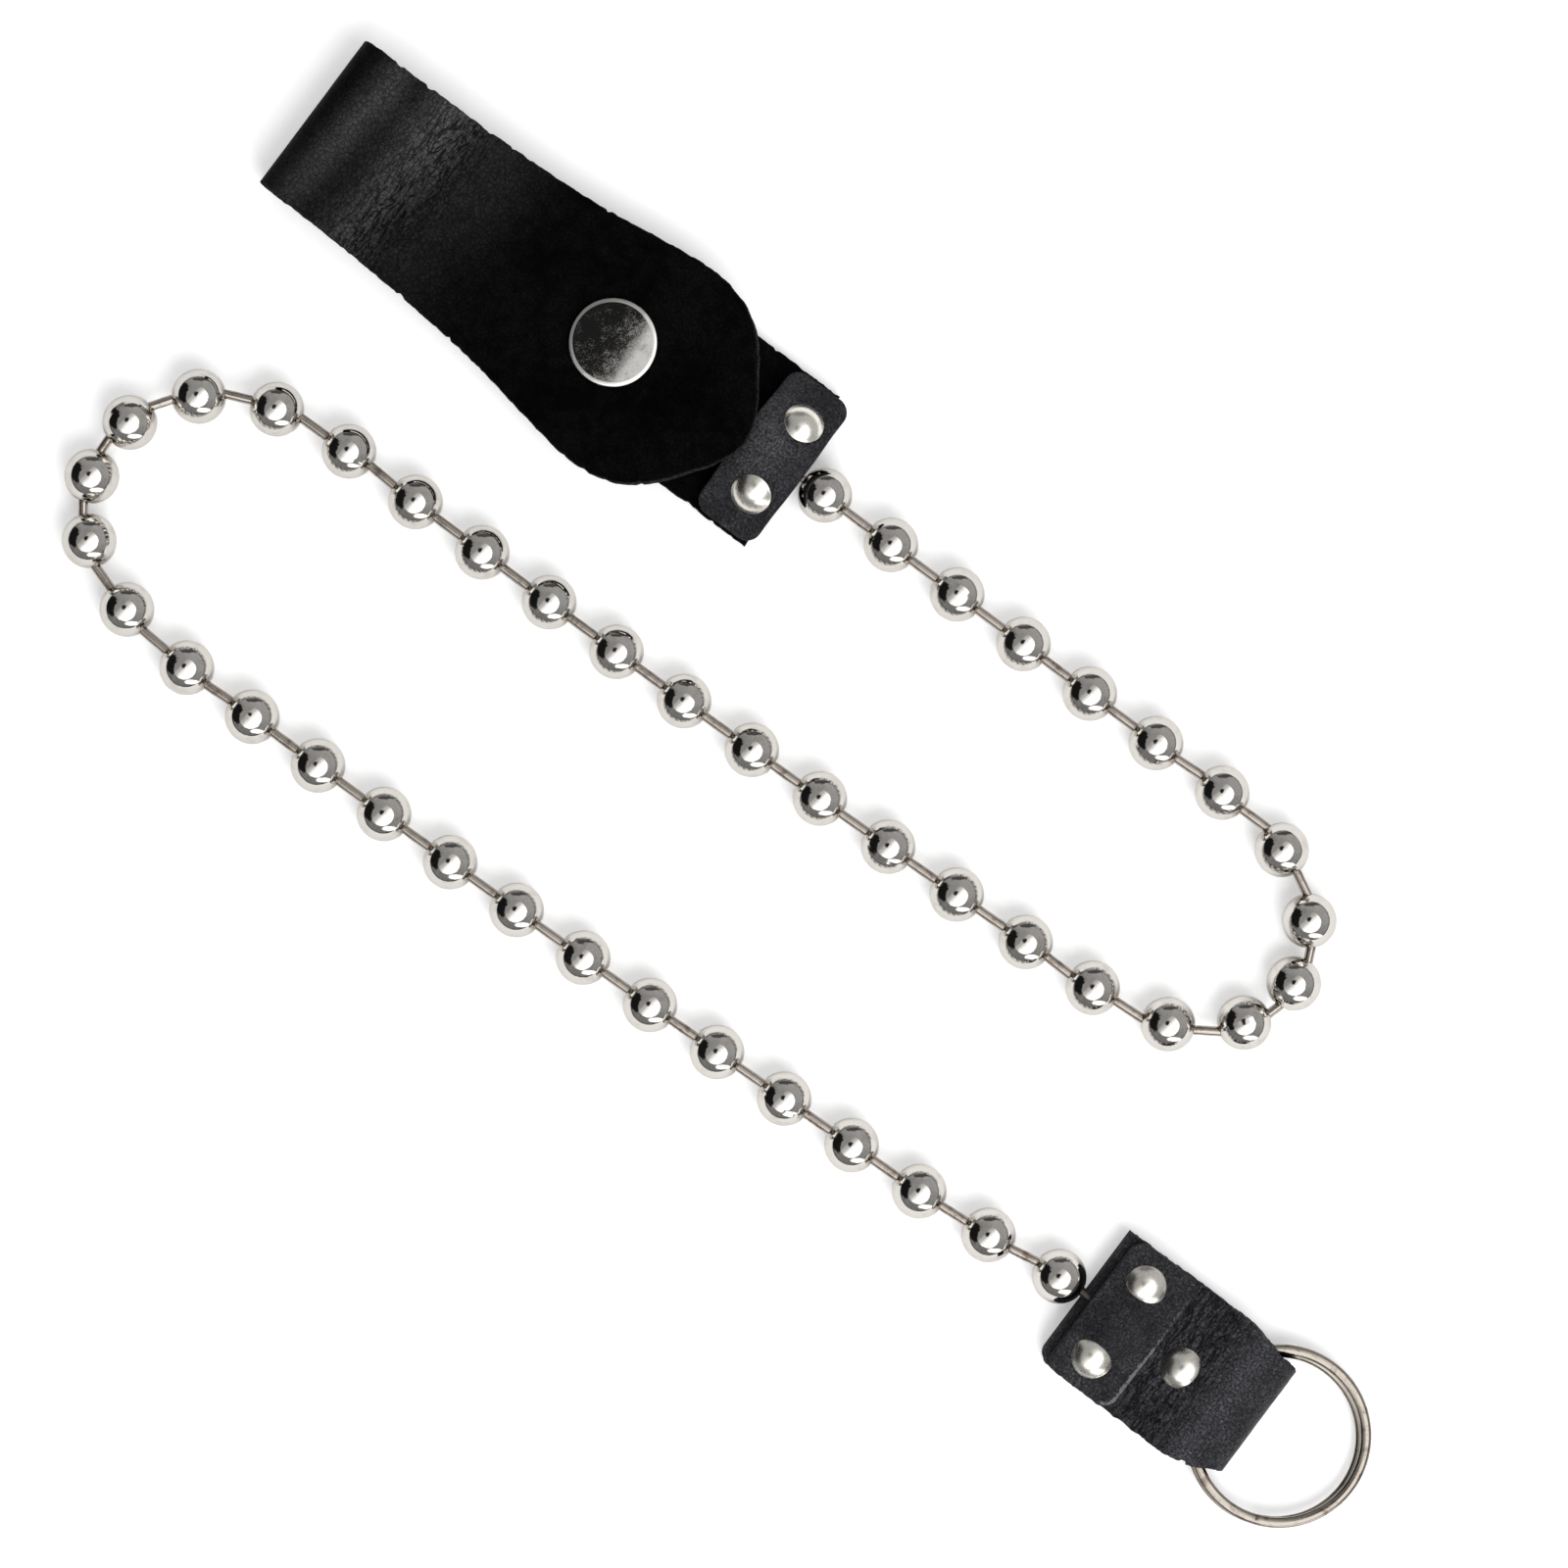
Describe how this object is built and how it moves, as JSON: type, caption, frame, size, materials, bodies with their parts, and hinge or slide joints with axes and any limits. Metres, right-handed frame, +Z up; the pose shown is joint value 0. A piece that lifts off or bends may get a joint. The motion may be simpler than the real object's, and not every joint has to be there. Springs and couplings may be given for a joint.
{
  "type": "ball chain keeper",
  "caption": "Ball chain with a black leather belt loop, closed by a snap, at one end and a riveted leather fob with a split key ring at the other",
  "frame": {"origin": "on the table, under the middle of the whole layout", "axes": "+X along the belt strap from its fold to the chain, +Y across the strap, +Z up from the table"},
  "size_m": [0.2878, 0.1191, 0.0127],
  "materials": {
    "strap_leather": "black vegetable-tanned leather, satin grain, raw cut edges",
    "patch_leather": "charcoal leather, pebbled grain, raw cut edges",
    "ball_nickel": "polished nickel plate",
    "rivet_nickel": "satin nickel plate",
    "snap_nickel": "polished nickel plate with fine scratches",
    "ring_nickel": "nickel plated spring steel"
  },
  "bodies": {
    "strap": {"strap_base": "strap_leather", "strap_fold": "strap_leather", "snap_stud": "snap_nickel", "snap_post": "snap_nickel", "tab_patch": "patch_leather", "tab_rivets": "rivet_nickel", "tab_ball": "ball_nickel"},
    "flap": {"strap_flap": "strap_leather", "snap_cap": "snap_nickel", "snap_socket": "snap_nickel"},
    "fob": {"fob_ball": "ball_nickel", "fob_strap": "patch_leather", "fob_patch": "patch_leather", "fob_rivets": "rivet_nickel"},
    "ring": {"split_ring": "ring_nickel"},
    "link_01": {"ball_01": "ball_nickel"},
    "link_02": {"ball_02": "ball_nickel"},
    "link_03": {"ball_03": "ball_nickel"},
    "link_04": {"ball_04": "ball_nickel"},
    "link_05": {"ball_05": "ball_nickel"},
    "link_06": {"ball_06": "ball_nickel"},
    "link_07": {"ball_07": "ball_nickel"},
    "link_08": {"ball_08": "ball_nickel"},
    "link_09": {"ball_09": "ball_nickel"},
    "link_10": {"ball_10": "ball_nickel"},
    "link_11": {"ball_11": "ball_nickel"},
    "link_12": {"ball_12": "ball_nickel"},
    "link_13": {"ball_13": "ball_nickel"},
    "link_14": {"ball_14": "ball_nickel"},
    "link_15": {"ball_15": "ball_nickel"},
    "link_16": {"ball_16": "ball_nickel"},
    "link_17": {"ball_17": "ball_nickel"},
    "link_18": {"ball_18": "ball_nickel"},
    "link_19": {"ball_19": "ball_nickel"},
    "link_20": {"ball_20": "ball_nickel"},
    "link_21": {"ball_21": "ball_nickel"},
    "link_22": {"ball_22": "ball_nickel"},
    "link_23": {"ball_23": "ball_nickel"},
    "link_24": {"ball_24": "ball_nickel"},
    "link_25": {"ball_25": "ball_nickel"},
    "link_26": {"ball_26": "ball_nickel"},
    "link_27": {"ball_27": "ball_nickel"},
    "link_28": {"ball_28": "ball_nickel"},
    "link_29": {"ball_29": "ball_nickel"},
    "link_30": {"ball_30": "ball_nickel"},
    "link_31": {"ball_31": "ball_nickel"},
    "link_32": {"ball_32": "ball_nickel"},
    "link_33": {"ball_33": "ball_nickel"},
    "link_34": {"ball_34": "ball_nickel"},
    "link_35": {"ball_35": "ball_nickel"},
    "link_36": {"ball_36": "ball_nickel"},
    "link_37": {"ball_37": "ball_nickel"},
    "link_38": {"ball_38": "ball_nickel"},
    "link_39": {"ball_39": "ball_nickel"},
    "link_40": {"ball_40": "ball_nickel"},
    "link_41": {"ball_41": "ball_nickel"},
    "link_42": {"ball_42": "ball_nickel"},
    "link_43": {"ball_43": "ball_nickel"},
    "link_44": {"ball_44": "ball_nickel"}
  },
  "joints": [
    {"name": "flap_unfold", "type": "hinge", "parent": "strap", "child": "flap", "pos_m": [-0.14362, 0.04, 0.0058], "axis": [0, -1, 0], "range_deg": [0, 150], "deforming": ["strap_fold"]},
    {"name": "fob_tilt", "type": "hinge", "parent": "link_44", "child": "fob", "pos_m": [0.08524, -0.04387, 0.00475], "axis": [-0.0598, -0.9982, 0], "range_deg": [-22, 22]},
    {"name": "key_ring_turn", "type": "hinge", "parent": "fob", "child": "ring", "pos_m": [0.1279, -0.04353, 0.00365], "axis": [0.0349, 0, 0.9994], "continuous": true},
    {"name": "link_01", "type": "hinge", "parent": "strap", "child": "link_01", "pos_m": [-0.04005, 0.04, 0.00475], "axis": [0, 0.7071, 0.7071], "range_deg": [-12, 12]},
    {"name": "link_02", "type": "hinge", "parent": "link_01", "child": "link_02", "pos_m": [-0.02845, 0.04, 0.00475], "axis": [0, -0.7071, -0.7071], "range_deg": [-25, 25]},
    {"name": "link_03", "type": "hinge", "parent": "link_02", "child": "link_03", "pos_m": [-0.0141, 0.04, 0.00475], "axis": [0, -0.7071, -0.7071], "range_deg": [-25, 25]},
    {"name": "link_04", "type": "hinge", "parent": "link_03", "child": "link_04", "pos_m": [0.00025, 0.04, 0.00475], "axis": [0, 0.7071, 0.7071], "range_deg": [-25, 25]},
    {"name": "link_05", "type": "hinge", "parent": "link_04", "child": "link_05", "pos_m": [0.0146, 0.04, 0.00475], "axis": [0, -0.7071, 0.7071], "range_deg": [-25, 25]},
    {"name": "link_06", "type": "hinge", "parent": "link_05", "child": "link_06", "pos_m": [0.02895, 0.04, 0.00475], "axis": [0, 0.7071, -0.7071], "range_deg": [-25, 25]},
    {"name": "link_07", "type": "hinge", "parent": "link_06", "child": "link_07", "pos_m": [0.0433, 0.04, 0.00475], "axis": [-0.0373, 0.7061, -0.7071], "range_deg": [-25, 25]},
    {"name": "link_08", "type": "hinge", "parent": "link_07", "child": "link_08", "pos_m": [0.05764, 0.03972, 0.00475], "axis": [0.0071, -0.7071, 0.7071], "range_deg": [-25, 25]},
    {"name": "link_09", "type": "hinge", "parent": "link_08", "child": "link_09", "pos_m": [0.07158, 0.03674, 0.00475], "axis": [0.3215, 0.6298, 0.7071], "range_deg": [-25, 25]},
    {"name": "link_10", "type": "hinge", "parent": "link_09", "child": "link_10", "pos_m": [0.08144, 0.0278, 0.00475], "axis": [-0.6381, -0.3048, -0.7071], "range_deg": [-20, 20]},
    {"name": "link_11", "type": "hinge", "parent": "link_10", "child": "link_11", "pos_m": [0.08318, 0.01641, 0.00475], "axis": [-0.68, 0.1938, -0.7071], "range_deg": [-15, 5]},
    {"name": "link_12", "type": "hinge", "parent": "link_11", "child": "link_12", "pos_m": [0.07751, 0.00653, 0.00475], "axis": [0.3863, -0.5923, 0.7071], "range_deg": [-11, 11]},
    {"name": "link_13", "type": "hinge", "parent": "link_12", "child": "link_13", "pos_m": [0.06548, 0.00031, 0.00475], "axis": [-0.0437, 0.7058, 0.7071], "range_deg": [-14, 14]},
    {"name": "link_14", "type": "hinge", "parent": "link_13", "child": "link_14", "pos_m": [0.05086, -0.0011, 0.00475], "axis": [-0.015, -0.7069, -0.7071], "range_deg": [-25, 25]},
    {"name": "link_15", "type": "hinge", "parent": "link_14", "child": "link_15", "pos_m": [0.03675, -0.00137, 0.00475], "axis": [0.0271, -0.7066, -0.7071], "range_deg": [-25, 25]},
    {"name": "link_16", "type": "hinge", "parent": "link_15", "child": "link_16", "pos_m": [0.02226, -0.0019, 0.00475], "axis": [-0.0234, 0.7067, 0.7071], "range_deg": [-25, 25]},
    {"name": "link_17", "type": "hinge", "parent": "link_16", "child": "link_17", "pos_m": [0.00777, -0.00236, 0.00475], "axis": [0.0197, -0.7068, 0.7071], "range_deg": [-25, 25]},
    {"name": "link_18", "type": "hinge", "parent": "link_17", "child": "link_18", "pos_m": [-0.00673, -0.00274, 0.00475], "axis": [-0.016, 0.7069, -0.7071], "range_deg": [-25, 25]},
    {"name": "link_19", "type": "hinge", "parent": "link_18", "child": "link_19", "pos_m": [-0.02123, -0.00304, 0.00475], "axis": [-0.0123, 0.707, -0.7071], "range_deg": [-25, 25]},
    {"name": "link_20", "type": "hinge", "parent": "link_19", "child": "link_20", "pos_m": [-0.03572, -0.00327, 0.00475], "axis": [0.0086, -0.7071, 0.7071], "range_deg": [-25, 25]},
    {"name": "link_21", "type": "hinge", "parent": "link_20", "child": "link_21", "pos_m": [-0.05022, -0.00343, 0.00475], "axis": [-0.0049, 0.7071, 0.7071], "range_deg": [-25, 25]},
    {"name": "link_22", "type": "hinge", "parent": "link_21", "child": "link_22", "pos_m": [-0.06472, -0.0035, 0.00475], "axis": [0.0012, -0.7071, -0.7071], "range_deg": [-25, 25]},
    {"name": "link_23", "type": "hinge", "parent": "link_22", "child": "link_23", "pos_m": [-0.07922, -0.0035, 0.00475], "axis": [-0.0025, -0.7071, -0.7071], "range_deg": [-25, 25]},
    {"name": "link_24", "type": "hinge", "parent": "link_23", "child": "link_24", "pos_m": [-0.09372, -0.00343, 0.00475], "axis": [0.044, 0.7057, 0.7071], "range_deg": [-25, 25]},
    {"name": "link_25", "type": "hinge", "parent": "link_24", "child": "link_25", "pos_m": [-0.10822, -0.00357, 0.00475], "axis": [0.0094, -0.707, 0.7071], "range_deg": [-25, 25]},
    {"name": "link_26", "type": "hinge", "parent": "link_25", "child": "link_26", "pos_m": [-0.12243, -0.0063, 0.00475], "axis": [-0.2806, 0.6491, -0.7071], "range_deg": [-15, 15]},
    {"name": "link_27", "type": "hinge", "parent": "link_26", "child": "link_27", "pos_m": [-0.13359, -0.01437, 0.00475], "axis": [-0.5816, 0.4021, -0.7071], "range_deg": [-22, 22]},
    {"name": "link_28", "type": "hinge", "parent": "link_27", "child": "link_28", "pos_m": [-0.13833, -0.02648, 0.00475], "axis": [0.7065, 0.0284, 0.7071], "range_deg": [-17, 11]},
    {"name": "link_29", "type": "hinge", "parent": "link_28", "child": "link_29", "pos_m": [-0.1354, -0.03782, 0.00475], "axis": [-0.5699, -0.4186, 0.7071], "range_deg": [-2, 16]},
    {"name": "link_30", "type": "hinge", "parent": "link_29", "child": "link_30", "pos_m": [-0.12698, -0.04565, 0.00475], "axis": [0.2177, 0.6728, -0.7071], "range_deg": [-12, 12]},
    {"name": "link_31", "type": "hinge", "parent": "link_30", "child": "link_31", "pos_m": [-0.11372, -0.04961, 0.00475], "axis": [0.044, 0.7057, -0.7071], "range_deg": [-22, 22]},
    {"name": "link_32", "type": "hinge", "parent": "link_31", "child": "link_32", "pos_m": [-0.09917, -0.05055, 0.00475], "axis": [0.0397, -0.706, 0.7071], "range_deg": [-25, 25]},
    {"name": "link_33", "type": "hinge", "parent": "link_32", "child": "link_33", "pos_m": [-0.08496, -0.05024, 0.00475], "axis": [-0.0031, 0.7071, 0.7071], "range_deg": [-25, 25]},
    {"name": "link_34", "type": "hinge", "parent": "link_33", "child": "link_34", "pos_m": [-0.07077, -0.05016, 0.00475], "axis": [0.0062, -0.7071, -0.7071], "range_deg": [-25, 25]},
    {"name": "link_35", "type": "hinge", "parent": "link_34", "child": "link_35", "pos_m": [-0.05657, -0.05002, 0.00475], "axis": [0.0093, -0.707, -0.7071], "range_deg": [-25, 25]},
    {"name": "link_36", "type": "hinge", "parent": "link_35", "child": "link_36", "pos_m": [-0.04237, -0.04981, 0.00475], "axis": [-0.0123, 0.707, 0.7071], "range_deg": [-25, 25]},
    {"name": "link_37", "type": "hinge", "parent": "link_36", "child": "link_37", "pos_m": [-0.02817, -0.04954, 0.00475], "axis": [0.0154, -0.7069, 0.7071], "range_deg": [-25, 25]},
    {"name": "link_38", "type": "hinge", "parent": "link_37", "child": "link_38", "pos_m": [-0.01397, -0.04922, 0.00475], "axis": [-0.0185, 0.7069, -0.7071], "range_deg": [-25, 25]},
    {"name": "link_39", "type": "hinge", "parent": "link_38", "child": "link_39", "pos_m": [0.00022, -0.04882, 0.00475], "axis": [-0.0216, 0.7068, -0.7071], "range_deg": [-25, 25]},
    {"name": "link_40", "type": "hinge", "parent": "link_39", "child": "link_40", "pos_m": [0.01441, -0.04837, 0.00475], "axis": [0.0247, -0.7067, 0.7071], "range_deg": [-25, 25]},
    {"name": "link_41", "type": "hinge", "parent": "link_40", "child": "link_41", "pos_m": [0.0286, -0.04785, 0.00475], "axis": [-0.0278, 0.7066, 0.7071], "range_deg": [-25, 25]},
    {"name": "link_42", "type": "hinge", "parent": "link_41", "child": "link_42", "pos_m": [0.04279, -0.04728, 0.00475], "axis": [0.0212, -0.7068, -0.7071], "range_deg": [-25, 25]},
    {"name": "link_43", "type": "hinge", "parent": "link_42", "child": "link_43", "pos_m": [0.05697, -0.04657, 0.00475], "axis": [0.0555, -0.7049, -0.7071], "range_deg": [-25, 25]},
    {"name": "link_44", "type": "hinge", "parent": "link_43", "child": "link_44", "pos_m": [0.07112, -0.0453, 0.00475], "axis": [-0.1262, 0.6958, 0.7071], "range_deg": [-25, 25]}
  ]
}
